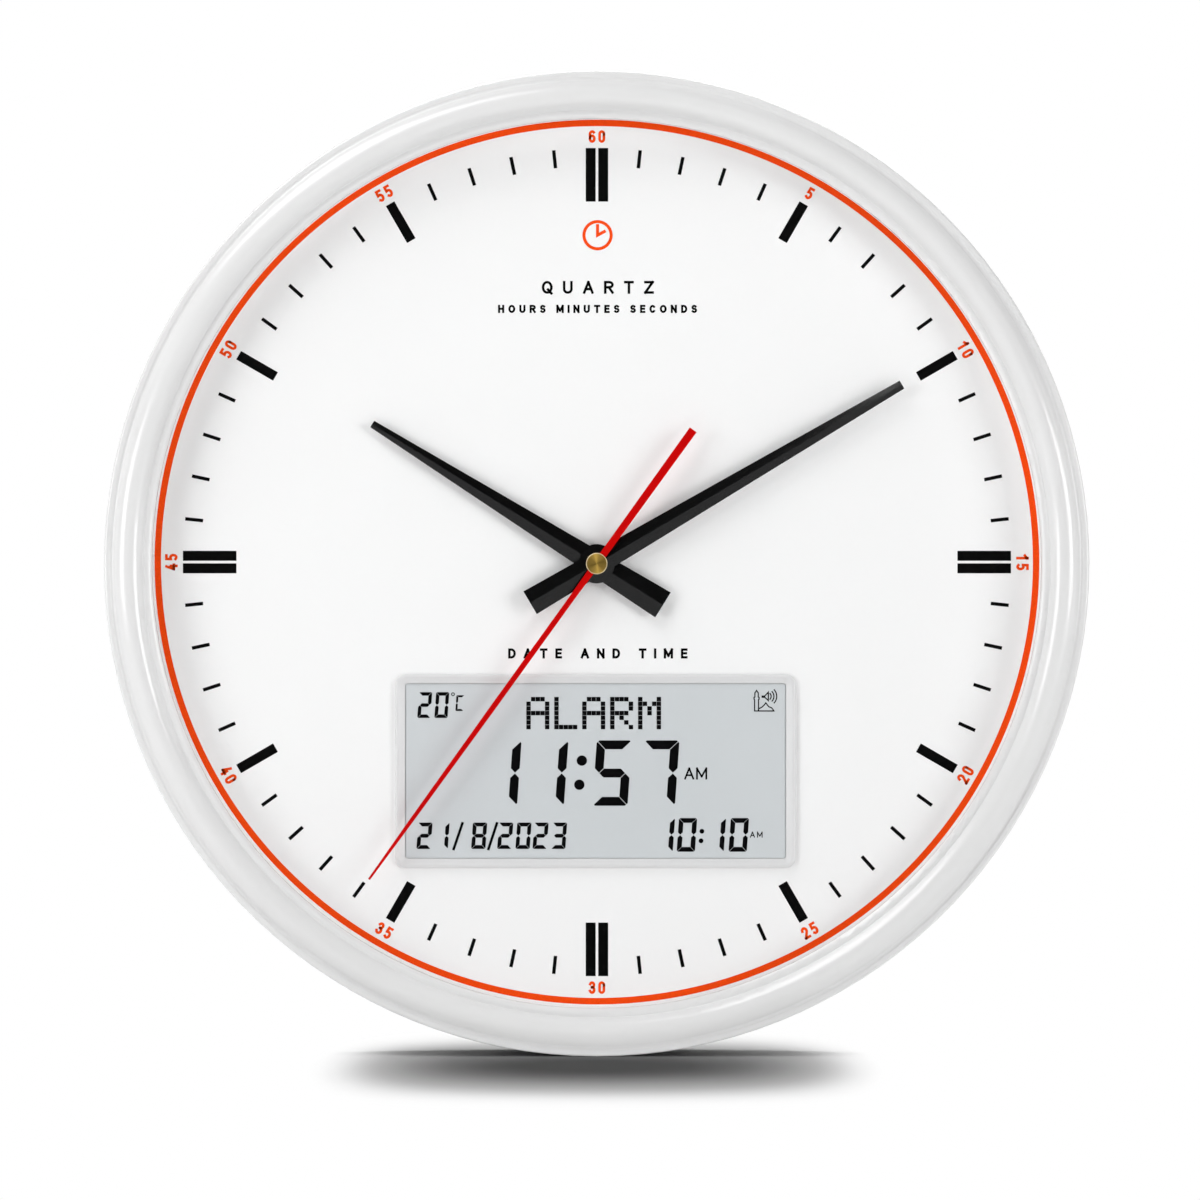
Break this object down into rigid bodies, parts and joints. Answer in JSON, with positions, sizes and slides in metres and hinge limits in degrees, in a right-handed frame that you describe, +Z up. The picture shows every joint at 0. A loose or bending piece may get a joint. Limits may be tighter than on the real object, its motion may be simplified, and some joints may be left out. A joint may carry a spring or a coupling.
{
  "type": "azan wall clock",
  "caption": "Round white wall clock with black bar markers, black hands, a red second hand and a framed digital prayer-time display, built as a working quartz assembly.",
  "frame": {"origin": "on the wall plane (the rear cover's back face), on the axis of the hands", "axes": "+Z is up, +X is to the right of the dial, and the dial faces -Y, so +Y points into the wall"},
  "size_m": [0.35, 0.052, 0.35],
  "materials": {
    "white_abs": "smooth glossy white injection-moulded ABS",
    "clear_glass": "clear flat 2 mm mineral glass, polished edge",
    "pale_gasket": "pale soft foam gasket",
    "dark_rubber": "dark soft rubber",
    "dial_white": "satin white printed plastic sheet",
    "carrier_plastic": "natural matt moulded plastic",
    "lcd_bezel_plastic": "semi-gloss white moulded plastic",
    "lcd_glass": "grey-silver reflective liquid-crystal cell",
    "zebra_rubber": "striped conductive rubber strip",
    "circuit_board": "green solder-masked fibreglass laminate",
    "component_black": "moulded black epoxy and nylon",
    "screw_steel": "zinc-plated steel",
    "rear_plastic": "fine-textured white moulded plastic",
    "hanger_steel": "stamped and plated sheet steel",
    "speaker_steel": "black-coated pressed steel",
    "speaker_ferrite": "dull ferrite with steel plates",
    "speaker_paper": "black treated paper cone",
    "cell_jacket": "dark jacketed steel can",
    "contact_metal": "nickel-plated spring steel",
    "key_plastic": "dark grey moulded plastic",
    "movement_black": "black moulded polystyrene",
    "brass": "turned brass",
    "coil_copper": "enamelled copper winding",
    "stator_iron": "stamped soft iron",
    "gear_plastic": "natural white acetal",
    "hand_black": "black-lacquered aluminium sheet, folded along the ridge",
    "hand_red": "red-lacquered aluminium sheet",
    "cap_brass": "spun brass with a circular brushed face"
  },
  "bodies": {
    "root": {"front_frame": "white_abs", "glass_lens": "clear_glass", "glass_gasket": "pale_gasket", "spacer_ring": "dial_white", "dial_plate": "dial_white", "dial_carrier": "carrier_plastic", "lcd_bezel": "lcd_bezel_plastic", "lcd_cell": "lcd_glass", "lcd_holder": "carrier_plastic", "zebra_strips": "zebra_rubber", "main_board": "circuit_board", "board_components": "component_black", "board_screws": "screw_steel", "rear_cover": "rear_plastic", "case_screws": "screw_steel", "hanger_plate": "hanger_steel", "hanger_screws": "screw_steel", "speaker_basket": "speaker_steel", "speaker_magnet": "speaker_ferrite", "speaker_cone": "speaker_paper", "speaker_retainer": "carrier_plastic", "speaker_screws": "screw_steel", "azan_cells": "cell_jacket", "battery_springs": "contact_metal", "battery_tabs": "contact_metal", "tact_switches": "component_black", "slide_switch": "contact_metal", "key_board": "circuit_board", "key_board_screws": "screw_steel", "movement_case": "movement_black", "movement_cover": "movement_black", "movement_cell": "cell_jacket", "cell_contacts": "contact_metal", "neck_washer": "dark_rubber", "neck_nut": "brass", "stator": "stator_iron", "motor_coil": "coil_copper", "movement_board": "circuit_board"},
    "second": {"seconds_wheel": "gear_plastic", "second_hand": "hand_red", "hand_cap": "cap_brass"},
    "minute": {"minute_arbor": "brass", "centre_wheel": "gear_plastic", "clutch_spring": "contact_metal", "minute_hand": "hand_black"},
    "hour": {"hour_wheel": "gear_plastic", "hour_hand": "hand_black"},
    "rotor": {"rotor": "gear_plastic"},
    "intermediate": {"intermediate_wheel": "gear_plastic"},
    "third": {"third_wheel": "gear_plastic"},
    "motion": {"motion_wheel": "gear_plastic"},
    "knob": {"setting_knob": "gear_plastic"},
    "door": {"battery_door": "rear_plastic"},
    "mode_key": {"mode_button": "key_plastic"},
    "set_key": {"set_button": "key_plastic"},
    "up_key": {"up_button": "key_plastic"},
    "down_key": {"down_button": "key_plastic"},
    "play_key": {"play_button": "key_plastic"},
    "slider": {"volume_slider": "key_plastic"}
  },
  "joints": [
    {"name": "second_turn", "type": "hinge", "parent": "root", "child": "second", "pos_m": [0, -0.0185, 0], "axis": [0, 1, 0], "continuous": true},
    {"name": "minute_turn", "type": "hinge", "parent": "root", "child": "minute", "pos_m": [0, -0.023, 0], "axis": [0, 1, 0], "continuous": true},
    {"name": "hour_turn", "type": "hinge", "parent": "root", "child": "hour", "pos_m": [0, -0.0275, 0], "axis": [0, 1, 0], "continuous": true},
    {"name": "rotor_turn", "type": "hinge", "parent": "root", "child": "rotor", "pos_m": [0.00735, -0.0225, 0.01849], "axis": [0, 1, 0], "continuous": true},
    {"name": "intermediate_turn", "type": "hinge", "parent": "root", "child": "intermediate", "pos_m": [0, -0.0195, 0.01232], "axis": [0, 1, 0], "continuous": true},
    {"name": "third_turn", "type": "hinge", "parent": "root", "child": "third", "pos_m": [-0.01182, -0.0215, 0.00317], "axis": [0, 1, 0], "continuous": true},
    {"name": "motion_turn", "type": "hinge", "parent": "root", "child": "motion", "pos_m": [0.01039, -0.0265, 0.006], "axis": [0, 1, 0], "continuous": true},
    {"name": "setting_knob_turn", "type": "hinge", "parent": "root", "child": "knob", "pos_m": [0.01689, -0.018, -0.00526], "axis": [0, 1, 0], "continuous": true},
    {"name": "battery_door_hinge", "type": "hinge", "parent": "root", "child": "door", "pos_m": [0.11005, -0.00105, 0], "axis": [0, 0, -1], "range_deg": [0, 100]},
    {"name": "mode_button_press", "type": "slide", "parent": "root", "child": "mode_key", "axis": [0, -1, 0], "range_m": [0, 0.0009], "stiffness_N_per_m": 1200},
    {"name": "set_button_press", "type": "slide", "parent": "root", "child": "set_key", "axis": [0, -1, 0], "range_m": [0, 0.0009], "stiffness_N_per_m": 1200},
    {"name": "up_button_press", "type": "slide", "parent": "root", "child": "up_key", "axis": [0, -1, 0], "range_m": [0, 0.0009], "stiffness_N_per_m": 1200},
    {"name": "down_button_press", "type": "slide", "parent": "root", "child": "down_key", "axis": [0, -1, 0], "range_m": [0, 0.0009], "stiffness_N_per_m": 1200},
    {"name": "play_button_press", "type": "slide", "parent": "root", "child": "play_key", "axis": [0, -1, 0], "range_m": [0, 0.0009], "stiffness_N_per_m": 1200},
    {"name": "volume_slide", "type": "slide", "parent": "root", "child": "slider", "axis": [0, 0, 1], "range_m": [0, 0.004]}
  ],
  "couplings": [
    {"joint": "minute_turn", "follows": "second_turn", "ratio": 0.016667},
    {"joint": "hour_turn", "follows": "second_turn", "ratio": 0.0013889},
    {"joint": "intermediate_turn", "follows": "second_turn", "ratio": -6},
    {"joint": "rotor_turn", "follows": "second_turn", "ratio": 30},
    {"joint": "third_turn", "follows": "second_turn", "ratio": -0.13333},
    {"joint": "motion_turn", "follows": "second_turn", "ratio": -0.0055556},
    {"joint": "setting_knob_turn", "follows": "second_turn", "ratio": 0.0125}
  ]
}
